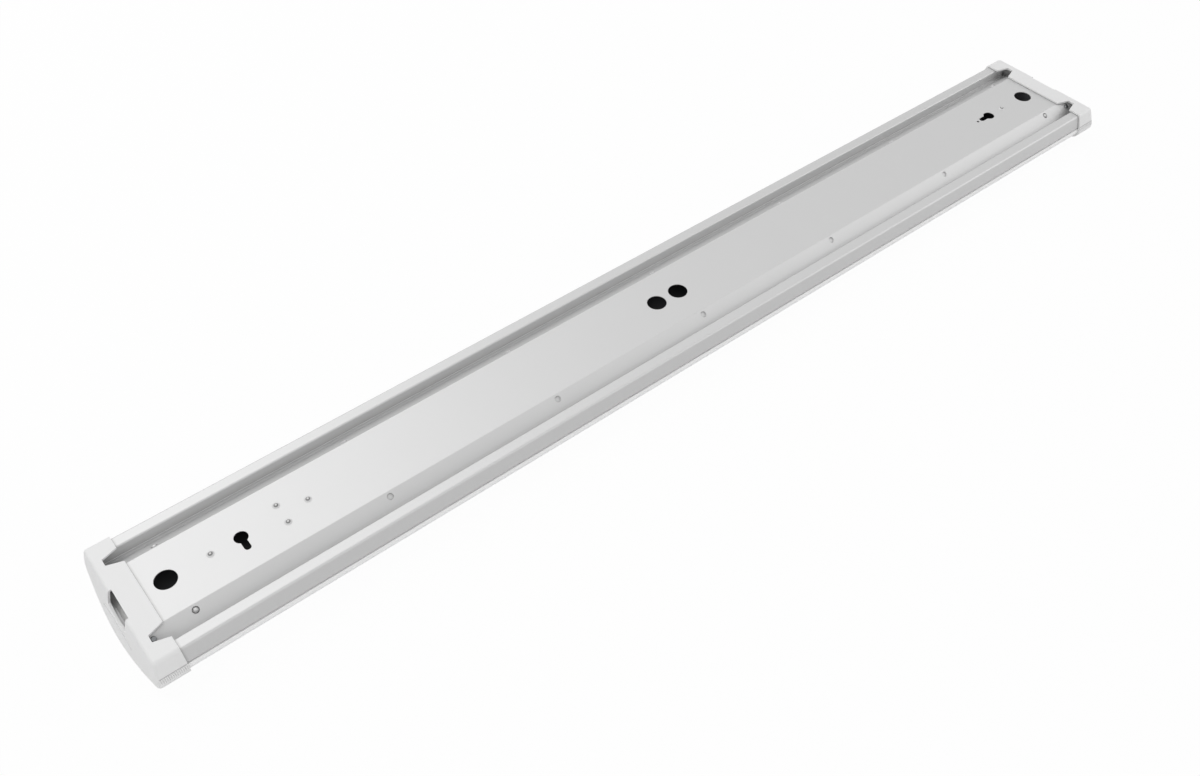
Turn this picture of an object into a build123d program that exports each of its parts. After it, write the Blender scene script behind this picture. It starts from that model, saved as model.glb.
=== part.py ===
from build123d import *
import math
import os

# Linear LED ceiling light, in millimetres.
# +X runs along the light and +Z points to the ceiling. The origin is the centre of the
# middle cable entry, on the upper face of the folded steel housing.

# Outer section, shared by the housing, the lens and the end caps
flange_half_width = 67.6
flare_angle = 17.2
lens_depth = 35.7
lens_arch_radius = 257.0
lens_corner_radius = 8.2

# Housing: one folded sheet of steel
housing_length = 1186.0
housing_sheet = 0.7
panel_half_width = 35.7
groove_mouth = 56.2
groove_floor_inner = 52.0
groove_depth = 12.0
side_height = 15.7
return_lip = 6.0
fold_radius = 0.8
flange_fold_radius = 1.7

# Openings in the panel
cable_entry_radius = 10.0
entry_from_end = 35.0
second_entry_x = -28.0
keyhole_from_entry = 66.0
keyhole_middle_x = 2.0
keyhole_head_radius = 6.4
keyhole_slot_width = 6.2
keyhole_slot_travel = 12.5
pilot_hole_radius = 1.5
pilot_hole_offset = 19.8

# Snap dimples on the inner slopes of the grooves
dimple_count = 7
dimple_from_end = 41.9
dimple_radius = 3.2
dimple_depth = 1.4
dimple_from_edge = 5.1
dimple_hole_clearance = 0.35

# End caps: one moulding each
cap_wall = 2.1
cap_gap = 0.2
cap_over_housing = 16.0
cap_end_room = 7.0
cap_lean = 0.29
cap_lean_half_span = 110.0
cap_edge_radius = 3.0
notch_mouth_inner = 37.0
notch_mouth_outer = 54.0
notch_end_inner = 42.0
notch_end_outer = 49.6
notch_length = 14.4
notch_corner_radius = 2.0
window_half_width = 17.2
window_side_depth = 13.8
window_depth = 16.8
window_corner_radius = 0.8
window_top_step = 3.0
groove_line_depth = 15.3
groove_line_width = 0.9
groove_line_cut = 0.7
rib_pitch = 1.7
rib_count = 14
rib_cut = 0.6
rib_length = 13.0
score_depth = 20.2
score_half_width = 28.0
score_drop = 4.0
score_width = 1.4
score_cut = 1.0
cap_screw_from_end = 4.0
cap_screw_along_slope = 8.4
cap_tab_width = 9.0
cap_tab_thickness = 4.0
cap_tab_inset = 5.0

# Lens: one extruded opal profile that slides on the housing's return lips
lens_end_gap = 1.0
lens_wall = 1.6
lens_gap = 0.2
lens_hook_thickness = 1.3
lens_hook_reach = 1.5
lens_hook_rise = 2.6

# Gear tray: a flat sheet, with a folded rail on each side that snaps over the dimples
tray_past_housing = 8.5
tray_half_width = 56.0
tray_sheet = 0.7
tray_drop = 18.0
rail_from_cap = 3.0
rail_gap = 0.15
rail_fold_radius = 0.6
rail_top_margin = 0.5
rail_foot = 12.0
rivet_count = 7
rivet_from_rail_end = 64.0
rivet_y = 49.5
rivet_radius = 1.2
rivet_head_radius = 2.2
rivet_head_height = 0.7
liner_thickness = 0.4
liner_half_width = 44.5
liner_past_rail = 8.0

# LED boards under the tray
board_row_y = 28.0
board_width = 20.0
board_thickness = 1.0
board_gap = 12.0
board_from_end = 25.0
led_pitch = 15.6
led_length = 3.5
led_width = 2.8
led_height = 0.8
board_screw_spacing = 170.0
screw_shank_radius = 1.45
screw_head_radius = 2.8
cap_screw_head_radius = 2.3
screw_head_height = 1.6
screw_fit = 0.05

# Driver on the tray
driver_x = 220.0
driver_length = 240.0
driver_width = 40.0
driver_height = 13.0
driver_wall = 1.2
driver_lid_thickness = 1.0
driver_ear_length = 12.0
driver_ear_thickness = 1.5
driver_terminal_length = 16.0
driver_terminal_width = 26.0
driver_terminal_height = 8.0

# Mains terminal block, bonded under the panel
terminal_from_keyhole = 39.0
terminal_length = 24.0
terminal_width = 36.0
terminal_height = 12.5
terminal_ways = 3
terminal_pitch = 10.5
terminal_foot_y = 11.0
terminal_bore_radius = 1.7
terminal_screw_radius = 1.8

# Pressed pips in the panel, the pegs bonded under them, and the clips
pip_base_radius = 3.4
pip_top_radius = 1.1
pip_height = 1.5
pip_thinning = 0.2
peg_fit = 0.15
lead_clip_from_terminal = 25.0
entry_clip_from_entry = 40.0
clip_length = 9.0
clip_width = 11.0
clip_height = 4.0

# Leads
lead_radius = 1.1
lead_fit = 0.1
lead_lane_y = -22.0
lead_lane_pitch = 2.6
lead_bend_run = 6.0
earth_stud_from_terminal = 71.0
earth_stud_y = 12.0
earth_stud_radius = 2.0
output_way_y = 2.2
output_hole_from_driver = 62.0
output_hole_radius = 6.5
grommet_wall = 1.0

# Worked out from the sizes above
flare = math.radians(flare_angle)
slope = math.atan2(groove_depth, groove_floor_inner - panel_half_width)
half_housing = housing_length / 2
end_entry_x = half_housing - entry_from_end
left_keyhole_x = keyhole_middle_x - (end_entry_x - keyhole_from_entry)
right_keyhole_x = keyhole_middle_x + (end_entry_x - keyhole_from_entry)
dimple_pitch = 2 * (half_housing - dimple_from_end) / (dimple_count - 1)
cap_inner_x = half_housing - cap_over_housing
cap_outer_x = half_housing + cap_end_room
cap_screw_x = half_housing - cap_screw_from_end
cap_tab_inner_x = cap_inner_x + cap_tab_inset
half_lens = half_housing - lens_end_gap
half_tray = half_housing + tray_past_housing
half_rail = cap_inner_x - rail_from_cap
half_liner = half_rail + liner_past_rail
rivet_pitch = 2 * (half_rail - rivet_from_rail_end) / (rivet_count - 1)
board_length = half_housing - board_from_end - board_gap / 2
terminal_x = left_keyhole_x + terminal_from_keyhole
lead_clip_x = terminal_x + lead_clip_from_terminal
entry_clip_x = end_entry_x - entry_clip_from_entry
earth_stud_x = terminal_x + earth_stud_from_terminal
output_hole_x = driver_x + driver_length / 2 + output_hole_from_driver
tray_top = tray_sheet - tray_drop
liner_top = tray_top + liner_thickness
cap_top = cap_gap + cap_wall
board_face = -tray_drop - board_thickness
lead_half = lead_radius + lead_fit


def mirrored(points):
    """A symmetric path from its right half: the same points mirrored come first."""
    return [(-y, z) for y, z in reversed(points)] + points


def offset_path(points, distance):
    """A path moved sideways, left of its travel, with mitred corners."""
    normals = []
    for (y0, z0), (y1, z1) in zip(points, points[1:]):
        run = math.hypot(y1 - y0, z1 - z0)
        normals.append(((z0 - z1) / run, (y1 - y0) / run))
    moved = []
    for index, (y, z) in enumerate(points):
        before = normals[max(index - 1, 0)]
        after = normals[min(index, len(normals) - 1)]
        share = distance / (1 + before[0] * after[0] + before[1] * after[1])
        moved.append((y + share * (before[0] + after[0]), z + share * (before[1] + after[1])))
    return moved


def sheet_section(face_path, sheet, inside_radii):
    """Section of a folded sheet whose metal lies right of the path, with true bends."""
    back_path = offset_path(face_path, -sheet)
    face_radii = [0]
    back_radii = [0]
    for index in range(1, len(face_path) - 1):
        (y0, z0), (y1, z1), (y2, z2) = face_path[index - 1:index + 2]
        turns_left = (y1 - y0) * (z2 - z1) - (z1 - z0) * (y2 - y1) > 0
        inside = inside_radii[index - 1]
        face_radii.append(inside if turns_left else inside + sheet)
        back_radii.append(inside + sheet if turns_left else inside)
    face_radii.append(0)
    back_radii.append(0)
    outline = face_path + back_path[::-1]
    wire = FilletPolyline(*outline, radius=face_radii + back_radii[::-1], close=True)
    return Plane.YZ * make_face(wire)


def body_outline(grow):
    """Outer section of the light, grown outwards: flat top, flared sides, arched bottom."""
    side = flange_half_width + grow / math.cos(flare)
    top = side - grow * math.tan(flare)
    centre = lens_arch_radius - lens_depth
    radius = lens_arch_radius + grow
    lean = math.tan(flare)
    middle = side * lean + centre
    scale = 1 + lean * lean
    low = (middle - math.sqrt(middle ** 2 - scale * (side ** 2 + centre ** 2 - radius ** 2))) / scale
    corner = side - low * lean
    edges = [
        Line((-top, grow), (top, grow)),
        Line((top, grow), (corner, low)),
        ThreePointArc((corner, low), (0, centre - radius), (-corner, low)),
        Line((-corner, low), (-top, grow)),
    ]
    face = make_face(edges)
    upper = face.vertices().group_by(Axis.Y)[-1]
    face = fillet(upper, flange_fold_radius + housing_sheet + grow)
    lower = face.vertices().filter_by_position(Axis.Y, low - 1e-3, low + 1e-3)
    return fillet(lower, lens_corner_radius + grow)


def along_x(face, low, high):
    """Extrude a YZ face from one X to another."""
    return extrude(Pos(low, 0, 0) * (Plane.YZ * face), high - low, dir=(1, 0, 0))


def slope_plane(x, along, side, below=0.0):
    """Plane on a groove's inner slope: local X along the light, local Z out of the slope."""
    y = panel_half_width + along * math.cos(slope)
    z = -along * math.sin(slope)
    normal = (0, side * math.sin(slope), math.cos(slope))
    origin = (x, side * (y - below * math.sin(slope)), z - below * math.cos(slope))
    return Plane(origin=origin, x_dir=(1, 0, 0), z_dir=normal)


def dimple_stations():
    """X places of the snap dimples, evenly spaced about the middle."""
    first = -dimple_pitch * (dimple_count - 1) / 2
    return [first + dimple_pitch * index for index in range(dimple_count)]


def box_between(low, high):
    """A block between two corners."""
    size = [high[axis] - low[axis] for axis in range(3)]
    middle = [(high[axis] + low[axis]) / 2 for axis in range(3)]
    return Pos(*middle) * Box(*size)


def rod(radius, start, length, direction=(0, 0, 1)):
    """A round bar from a start point."""
    return extrude(Plane(origin=start, z_dir=direction) * Circle(radius), length)


def pip_places():
    """Places of the pips in the panel that take the pegs of the clips and the terminal block."""
    return [
        (-entry_clip_x, 0),
        (entry_clip_x, 0),
        (lead_clip_x, 0),
        (terminal_x, -terminal_foot_y),
        (terminal_x, terminal_foot_y),
    ]


def pip_cone(x, y, drop, shrink):
    """Cone of a pip, lowered and slimmed for its hollow and for the peg in it."""
    height = pip_height - drop
    cone = Cone(pip_base_radius - shrink, pip_top_radius - shrink, height)
    return Pos(x, y, height / 2) * cone


def peg(x, y):
    """Tapered peg that is bonded in the hollow under a pip."""
    return Pos(0, 0, -housing_sheet) * pip_cone(x, y, peg_fit, pip_thinning + peg_fit)


def pan_screw(plane, shank_length, head_radius=screw_head_radius):
    """Cross-recessed screw whose head seats on a plane and whose shank runs down from it."""
    head = extrude(plane * Circle(head_radius), screw_head_height)
    head = chamfer(top_rim(head, plane), 0.5)
    recess = extrude(plane.offset(screw_head_height - 0.9) * Rectangle(3.0, 0.7), 1.0)
    recess += extrude(plane.offset(screw_head_height - 0.9) * Rectangle(0.7, 3.0), 1.0)
    shank = extrude(plane * Circle(screw_shank_radius), -shank_length)
    return head - recess + shank


def top_rim(head, plane):
    """Upper edge of a screw's head."""
    rims = head.edges().filter_by(GeomType.CIRCLE)
    return rims.sort_by(lambda rim: plane.to_local_coords(rim.arc_center).Z)[-1]


def housing_channel():
    """Folded steel channel with two grooves, keyholes, cable entries and snap dimples."""
    side_foot = flange_half_width + side_height * math.tan(flare)
    right = [
        (panel_half_width, 0),
        (groove_floor_inner, -groove_depth),
        (groove_mouth, -groove_depth),
        (groove_mouth, 0),
        (flange_half_width, 0),
        (side_foot, -side_height),
        (side_foot - return_lip, -side_height),
    ]
    folds = [fold_radius] * 4 + [flange_fold_radius, fold_radius]
    section = sheet_section(mirrored(right), housing_sheet, folds[::-1] + folds)
    shell = extrude(Pos(-half_housing, 0, 0) * section, housing_length, dir=(1, 0, 0))

    cuts = []
    for x in (-end_entry_x, second_entry_x, 0, end_entry_x):
        cuts.append(Pos(x, 0, 0) * Cylinder(cable_entry_radius, 4))
    cuts.append(keyhole(left_keyhole_x, (0, -1)))
    cuts.append(keyhole(right_keyhole_x, (-1, 0)))
    cuts.append(Pos(right_keyhole_x - pilot_hole_offset, 0, 0) * Cylinder(pilot_hole_radius, 4))
    for side in (-1, 1):
        for x in (-cap_screw_x, cap_screw_x):
            plane = slope_plane(x, cap_screw_along_slope, side)
            cuts.append(extrude(plane * Circle(screw_shank_radius + 0.2), 2, both=True))
    shell -= Compound(cuts)

    for x, y in pip_places():
        shell += pip_cone(x, y, 0, 0)
        shell -= Pos(0, 0, -housing_sheet) * pip_cone(x, y, 0, pip_thinning)
    for side in (-1, 1):
        for x in dimple_stations():
            under = slope_plane(x, dimple_from_edge, side, below=housing_sheet)
            over = slope_plane(x, dimple_from_edge, side)
            bump = extrude(under * Circle(dimple_radius + housing_sheet / 2), -dimple_depth, taper=30)
            shell += bump
            shell -= extrude(over * Circle(dimple_radius), -dimple_depth, taper=30)
    return shell


def keyhole(x, travel):
    """Cutter of a keyhole: a round head and a slot that runs from it in one direction."""
    head = Pos(x, 0, 0) * Cylinder(keyhole_head_radius, 4)
    end_x = x + travel[0] * keyhole_slot_travel
    end_y = travel[1] * keyhole_slot_travel
    tail = Pos(end_x, end_y, 0) * Cylinder(keyhole_slot_width / 2, 4)
    length = keyhole_slot_travel
    turn = 90 if travel[1] else 0
    slot = Pos((x + end_x) / 2, end_y / 2, 0) * Rot(0, 0, turn) * Box(length, keyhole_slot_width, 4)
    return head + tail + slot


def lean_body(shift):
    """Block whose outer end leans out as it goes down and bulges towards the middle."""
    sections = []
    high = cap_top + 1
    low = -60
    for share in (-1, -0.5, 0, 0.5, 1):
        y = share * 84
        lean = cap_lean * (1 - (y / cap_lean_half_span) ** 2)
        upper = -cap_outer_x + shift - lean * (cap_top - high)
        lower = -cap_outer_x + shift - lean * (cap_top - low)
        plane = Plane(origin=(0, y, 0), x_dir=(1, 0, 0), z_dir=(0, -1, 0))
        outline = Polyline((-cap_inner_x, high), (upper, high), (lower, low), (-cap_inner_x, low), close=True)
        sections.append(plane * make_face(outline))
    return loft(sections)


def end_cap():
    """Moulded end cap at the -X end: sleeve, leaning end wall, window, notches and ribs."""
    far = cap_outer_x + 30
    outer = along_x(body_outline(cap_gap + cap_wall), -far, -cap_inner_x) & lean_body(0)
    rim = [edge for edge in outer.edges() if edge.center().X < -cap_outer_x - 0.3]
    outer = fillet(rim, cap_edge_radius)
    inner = along_x(body_outline(cap_gap), -far, -cap_inner_x) & lean_body(cap_wall)
    cap = outer - inner

    for side in (-1, 1):
        cap += screw_tab(side) & outer
        cap -= notch(side)
        cap -= side_grip(side)
    cap -= window()
    cap -= score_line()
    return cap


def screw_tab(side):
    """Tab under the groove's slope that takes the cap's fixing screw."""
    depth = housing_sheet + cap_gap
    plane = slope_plane(-cap_tab_inner_x, cap_screw_along_slope, side, below=depth)
    length = cap_outer_x - cap_tab_inner_x + 3
    tab = extrude(plane * Pos(-length / 2, 0) * Rectangle(length, cap_tab_width), -cap_tab_thickness)
    bore_plane = slope_plane(-cap_screw_x, cap_screw_along_slope, side)
    return tab - extrude(bore_plane * Circle(screw_shank_radius + screw_fit), 12, both=True)


def notch(side):
    """Cutter of the notch in the cap's top wall, over a groove."""
    low = -cap_inner_x
    high = low - notch_length
    outline = Polyline(
        (low + 1, side * notch_mouth_inner),
        (low, side * notch_mouth_inner),
        (high, side * notch_end_inner),
        (high, side * notch_end_outer),
        (low, side * notch_mouth_outer),
        (low + 1, side * notch_mouth_outer),
        close=True,
    )
    return extrude(make_face(outline), cap_top + 1)


def window():
    """Cutter of the cable window in the end wall: open at the top, with an arched sill."""
    side = window_half_width
    shoulder = cap_top - window_side_depth
    face = make_face([
        Line((-side, cap_top + 1), (-side, shoulder)),
        ThreePointArc((-side, shoulder), (0, cap_top - window_depth), (side, shoulder)),
        Line((side, shoulder), (side, cap_top + 1)),
        Line((side, cap_top + 1), (-side, cap_top + 1)),
    ])
    face = fillet(face.vertices().group_by(Axis.Y)[0], window_corner_radius)
    return along_x(face, -cap_outer_x - 30, -cap_outer_x + window_top_step)


def score_line():
    """Shallow arched line across the end wall below the window."""
    middle = cap_top - score_depth
    ends = middle - score_drop
    side = score_half_width
    face = make_face([
        ThreePointArc((-side, ends), (0, middle), (side, ends)),
        Line((side, ends), (side, ends - score_width)),
        ThreePointArc((side, ends - score_width), (0, middle - score_width), (-side, ends - score_width)),
        Line((-side, ends - score_width), (-side, ends)),
    ])
    skin = lean_body(0) - lean_body(score_cut)
    return skin & along_x(face, -cap_outer_x - 30, -cap_outer_x + 5)


def side_plane(x, depth, side):
    """Plane on the cap's flared side: local X along the light, local Z outwards."""
    z = cap_top - depth
    y = flange_half_width + cap_top / math.cos(flare) - z * math.tan(flare)
    normal = (0, side * math.cos(flare), math.sin(flare))
    return Plane(origin=(x, side * y, z), x_dir=(1, 0, 0), z_dir=normal)


def side_grip(side):
    """Cutters of the grip ribs low on the cap's side and of the line above them."""
    length = cap_outer_x - cap_inner_x
    line_plane = side_plane(-cap_inner_x - length / 2, groove_line_depth, side)
    cuts = [extrude(line_plane * Rectangle(length + 4, groove_line_width), groove_line_cut, both=True)]
    for index in range(rib_count):
        x = -cap_inner_x - rib_pitch * (index + 0.75)
        plane = side_plane(x, groove_line_depth, side)
        down = plane.y_dir.Z < 0
        start = plane.offset(0)
        wedge = Plane(origin=start.origin, x_dir=(1, 0, 0), z_dir=plane.y_dir if down else -plane.y_dir)
        outward = plane.z_dir
        sign = 1 if wedge.y_dir.dot(outward) > 0 else -1
        tip = Polyline((-rib_cut, sign * 0.02), (0, -sign * rib_cut), (rib_cut, sign * 0.02), close=True)
        cuts.append(extrude(wedge * make_face(tip), rib_length))
    return Compound(cuts)


def lens_cover():
    """Extruded opal lens with hooked edges that ride on the housing's return lips."""
    shell = body_outline(0) - body_outline(-lens_wall)
    edge = -side_height - lens_gap
    limit = Pos(0, edge - lens_depth) * Rectangle(4 * flange_half_width, 2 * lens_depth)
    profile = shell & limit
    side_foot = flange_half_width + side_height * math.tan(flare)
    lip_end = side_foot - return_lip
    hook_outer = lip_end - lens_gap
    hook_inner = hook_outer - lens_hook_thickness
    barb_low = -side_height + housing_sheet + lens_gap
    for side in (-1, 1):
        points = [
            (hook_inner, edge - lens_wall),
            (side_foot + 3, edge - lens_wall),
            (side_foot + 3, edge),
            (hook_outer, edge),
            (hook_outer, barb_low),
            (hook_outer + lens_hook_reach, barb_low),
            (hook_outer, barb_low + lens_hook_rise - lens_hook_reach),
            (hook_inner, barb_low + lens_hook_rise - lens_hook_reach),
        ]
        hook = make_face(Polyline(*[(side * y, z) for y, z in points], close=True))
        profile += hook & body_outline(0)
    return along_x(profile, -half_lens, half_lens)


def gear_tray():
    """Flat steel tray that carries the LED boards below and the driver above."""
    tray = box_between(
        (-half_tray, -tray_half_width, -tray_drop),
        (half_tray, tray_half_width, tray_top),
    )
    cuts = []
    for x, y in board_screw_places() + driver_screw_places():
        cuts.append(Pos(x, y, -tray_drop) * Cylinder(screw_shank_radius + screw_fit, 6))
    for x, y in rivet_places():
        cuts.append(Pos(x, y, -tray_drop) * Cylinder(rivet_radius + screw_fit, 6))
    cuts.append(Pos(output_hole_x, 0, -tray_drop) * Cylinder(output_hole_radius, 6))
    cuts.append(Pos(earth_stud_x, earth_stud_y, -tray_drop) * Cylinder(earth_stud_radius + screw_fit, 6))
    return tray - Compound(cuts)


def rivet_places():
    """Places of the rivets that hold the snap rails on the tray."""
    first = -rivet_pitch * (rivet_count - 1) / 2
    return [(first + rivet_pitch * index, side * rivet_y) for side in (-1, 1) for index in range(rivet_count)]


def snap_rail(side):
    """Folded rail: a foot on the tray and a wall up along a groove's inner slope."""
    inset = housing_sheet + rail_gap
    start_y = panel_half_width - inset * math.sin(slope)
    start_z = -inset * math.cos(slope)
    corner = start_y + (start_z - tray_top) / math.tan(slope)
    top = (start_y + rail_top_margin * math.cos(slope), start_z - rail_top_margin * math.sin(slope))
    path = [top, (corner, tray_top), (corner - rail_foot, tray_top)]
    section = sheet_section(path, tray_sheet, [rail_fold_radius])
    rail = extrude(Pos(-half_rail, 0, 0) * section, 2 * half_rail, dir=(1, 0, 0))
    cuts = []
    for x in dimple_stations():
        plane = slope_plane(x, dimple_from_edge, 1)
        cuts.append(extrude(plane * Circle(dimple_radius + dimple_hole_clearance), -3))
    for x, y in rivet_places():
        if y > 0:
            cuts.append(Pos(x, y, tray_top) * Cylinder(rivet_radius + screw_fit, 4))
    rail -= Compound(cuts)
    return rail if side > 0 else mirror(rail, about=Plane.XZ)


def rail_rivets():
    """Rivets that hold the snap rails on the tray, with a head on each face."""
    rivets = []
    low = -tray_drop
    high = tray_top + tray_sheet
    for x, y in rivet_places():
        rivet = rod(rivet_radius, (x, y, low - 0.1), high - low + 0.2)
        rivet += rod(rivet_head_radius, (x, y, high), rivet_head_height)
        rivet += rod(rivet_head_radius - 0.4, (x, y, low - rivet_head_height), rivet_head_height)
        rivets.append(rivet)
    return Compound(rivets)


def insulating_liner():
    """Black insulating sheet on the tray, under the mains wiring."""
    liner = box_between(
        (-half_liner, -liner_half_width, tray_top),
        (half_liner, liner_half_width, liner_top),
    )
    cuts = []
    for x, y in board_screw_places() + driver_screw_places():
        cuts.append(Pos(x, y, tray_top) * Cylinder(screw_shank_radius + 0.4, 4))
    cuts.append(Pos(output_hole_x, 0, tray_top) * Cylinder(output_hole_radius + 2, 4))
    cuts.append(Pos(earth_stud_x, earth_stud_y, tray_top) * Cylinder(6, 4))
    cuts.append(Pos(earth_stud_x - 7, earth_stud_y, tray_top) * Box(14, 7, 4))
    return liner - Compound(cuts)


def board_centres():
    """Middle of each LED board: two rows of two."""
    x = (board_length + board_gap) / 2
    return [(-x, -board_row_y), (x, -board_row_y), (-x, board_row_y), (x, board_row_y)]


def board_screw_places():
    """Places of the board screws, three on each board."""
    places = []
    for x, y in board_centres():
        for step in (-1, 0, 1):
            places.append((x + step * board_screw_spacing, y))
    return places


def driver_screw_places():
    """Places of the driver's two fixing screws, one in each ear."""
    reach = driver_length / 2 + driver_ear_length / 2
    return [(driver_x - reach, 0), (driver_x + reach, 0)]


def led_board(x, y):
    """Plain LED board with its screw holes."""
    board = Pos(x, y, -tray_drop - board_thickness / 2) * Box(board_length, board_width, board_thickness)
    holes = []
    for hole_x, hole_y in board_screw_places():
        if hole_y == y and abs(hole_x - x) < board_length / 2:
            holes.append(Pos(hole_x, hole_y, -tray_drop) * Cylinder(screw_shank_radius + 0.1, 6))
    return board - Compound(holes)


def led_packages(x, y):
    """LED packages of one board, left out where a screw or a connector sits."""
    taken = [place[0] for place in board_screw_places() if place[1] == y]
    taken += [output_hole_x, 0]
    count = int((board_length - led_pitch) / led_pitch) + 1
    first = x - led_pitch * (count - 1) / 2
    leds = []
    for index in range(count):
        led_x = first + index * led_pitch
        if all(abs(led_x - place) > 7.5 for place in taken):
            centre = Pos(led_x, y, board_face - led_height / 2)
            leds.append(centre * Box(led_length, led_width, led_height))
    return Compound(leds)


def screws_down(places, height, shank_length):
    """Pan-head screws with their heads up at one height."""
    return Compound([pan_screw(Plane(origin=(x, y, height)), shank_length) for x, y in places])


def screws_up(places, height, shank_length):
    """Pan-head screws with their heads down at one height."""
    planes = [Plane(origin=(x, y, height), x_dir=(1, 0, 0), z_dir=(0, 0, -1)) for x, y in places]
    return Compound([pan_screw(plane, shank_length) for plane in planes])


def driver_case():
    """Driver case: open tray with a fixing ear at each end and lead openings in its ends."""
    half = driver_length / 2
    floor = liner_top
    low = (driver_x - half, -driver_width / 2, floor)
    high = (driver_x + half, driver_width / 2, floor + driver_height - driver_lid_thickness)
    case = box_between(low, high)
    case = fillet(case.edges().filter_by(Axis.Z), 2.0)
    cavity = box_between(
        (low[0] + driver_wall, low[1] + driver_wall, floor + driver_wall),
        (high[0] - driver_wall, high[1] - driver_wall, high[2] + 1),
    )
    case -= cavity
    for side in (-1, 1):
        inner = driver_x + side * (half - 1)
        outer = driver_x + side * (half + driver_ear_length)
        ear = box_between((min(inner, outer), -7, floor), (max(inner, outer), 7, floor + driver_ear_thickness))
        case += ear
    holes = [Pos(x, y, floor) * Cylinder(screw_shank_radius + 0.15, 8) for x, y in driver_screw_places()]
    for side in (-1, 1):
        x = driver_x + side * half
        opening = box_between(
            (x - 3, -driver_terminal_width / 2, floor + 3.0),
            (x + 3, driver_terminal_width / 2, floor + 3.0 + driver_terminal_height),
        )
        holes.append(opening)
    return case - Compound(holes)


def driver_lid():
    """Flat lid on the driver case."""
    top = liner_top + driver_height
    lid = box_between(
        (driver_x - driver_length / 2, -driver_width / 2, top - driver_lid_thickness),
        (driver_x + driver_length / 2, driver_width / 2, top),
    )
    return fillet(lid.edges().filter_by(Axis.Z), 2.0)


def driver_terminal(side, ways):
    """Push-in terminal in an end of the driver, with one round way for each lead."""
    end = driver_x + side * driver_length / 2
    outer = end + side * 1.0
    inner = outer - side * driver_terminal_length
    floor = liner_top + 3.0 + 0.1
    block = box_between(
        (min(inner, outer), -driver_terminal_width / 2 + 0.1, floor),
        (max(inner, outer), driver_terminal_width / 2 - 0.1, floor + driver_terminal_height - 0.2),
    )
    z = driver_lead_z()
    for y in ways:
        block -= rod(lead_half, (outer, y, z), 8, (-side, 0, 0))
    return block


def driver_lead_z():
    """Height of the leads at the driver's terminals."""
    return liner_top + 3.0 + driver_terminal_height / 2


def terminal_way_ys():
    """Lateral places of the mains terminal's ways."""
    first = -terminal_pitch * (terminal_ways - 1) / 2
    return [first + terminal_pitch * index for index in range(terminal_ways)]


def mains_terminal_block():
    """Three-way mains terminal block, bonded under the panel on two pegs."""
    top = -housing_sheet
    low = (terminal_x - terminal_length / 2, -terminal_width / 2, top - terminal_height)
    high = (terminal_x + terminal_length / 2, terminal_width / 2, top)
    block = box_between(low, high)
    block = fillet(block.edges().filter_by(Axis.Z), 1.5)
    z = terminal_lead_z()
    for y in terminal_way_ys():
        block -= rod(terminal_bore_radius, (low[0] - 1, y, z), terminal_length / 2 - 1, (1, 0, 0))
        block -= rod(terminal_bore_radius, (high[0] + 1, y, z), terminal_length / 2 - 1, (-1, 0, 0))
        for side in (-1, 1):
            x = terminal_x + side * 6
            block -= rod(terminal_screw_radius + 0.1, (x, y, low[2] - 1), 5.2, (0, 0, 1))
    for side in (-1, 1):
        y = side * (terminal_pitch / 2)
        block -= box_between((low[0] + 2, y - 0.5, low[2] - 1), (high[0] - 2, y + 0.5, low[2] + 2.5))
    for y in (-terminal_foot_y, terminal_foot_y):
        block += peg(terminal_x, y)
    return block


def terminal_lead_z():
    """Height of the wire ways in the mains terminal."""
    return -housing_sheet - terminal_height / 2 + 0.8


def mains_terminal_screws():
    """Slotted clamping screws, two in each way of the mains terminal."""
    screws = []
    bottom = -housing_sheet - terminal_height
    for y in terminal_way_ys():
        for side in (-1, 1):
            x = terminal_x + side * 6
            screw = rod(terminal_screw_radius, (x, y, bottom + 0.6), 3.4, (0, 0, 1))
            screw -= box_between((x - 2.5, y - 0.3, bottom), (x + 2.5, y + 0.3, bottom + 1.4))
            screws.append(screw)
    return Compound(screws)


def saddle_clip(x, bores):
    """Saddle bonded under the panel on a peg, with one bore for each lead."""
    top = -housing_sheet
    width = clip_width
    if bores:
        width = 2 * (max(bores) + lead_half + 1.6)
    depth = clip_height if not bores else -terminal_lead_z() + lead_half + 1.2 - housing_sheet
    body = box_between((x - clip_length / 2, -width / 2, top - depth), (x + clip_length / 2, width / 2, top))
    body = fillet(body.edges().filter_by(Axis.Z), 1.2)
    if bores:
        for y in bores:
            body -= rod(lead_half, (x - clip_length, y, terminal_lead_z()), 2 * clip_length, (1, 0, 0))
    else:
        tunnel = box_between((x - 2.2, -width, top - 2.6), (x + 2.2, width, top - 1.0))
        body -= tunnel
    return body + peg(x, 0)


def lead(points):
    """A round lead along straight runs joined by tangent arcs."""
    radii = []
    for before, corner, after in zip(points, points[1:], points[2:]):
        back = Vector(*corner) - Vector(*before)
        ahead = Vector(*after) - Vector(*corner)
        turn = math.radians(back.get_angle(ahead))
        run = min(lead_bend_run, 0.45 * min(back.length, ahead.length))
        radii.append(run / math.tan(turn / 2))
    path = FilletPolyline(*points, radius=radii)
    start = Vector(*points[0])
    heading = Vector(*points[1]) - start
    return sweep(Plane(origin=start, z_dir=heading) * Circle(lead_radius), path=path)


def mains_lead(way, lane, driver_y):
    """Lead from a way of the mains terminal, along the tray, to the driver's input."""
    block_end = terminal_x + terminal_length / 2
    z = terminal_lead_z()
    low = liner_top + lead_radius + 0.1
    y = lead_lane_y + lane * lead_lane_pitch
    end = driver_x - driver_length / 2 - 1.0
    far = lead_clip_x + clip_length / 2 + lead_bend_run + 1
    return lead([
        (block_end - terminal_length / 2 + 4, way, z),
        (far, way, z),
        (far + 44, y, low),
        (end - 62, y, low),
        (end - 14, driver_y, driver_lead_z()),
        (end + 6, driver_y, driver_lead_z()),
    ])


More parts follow.
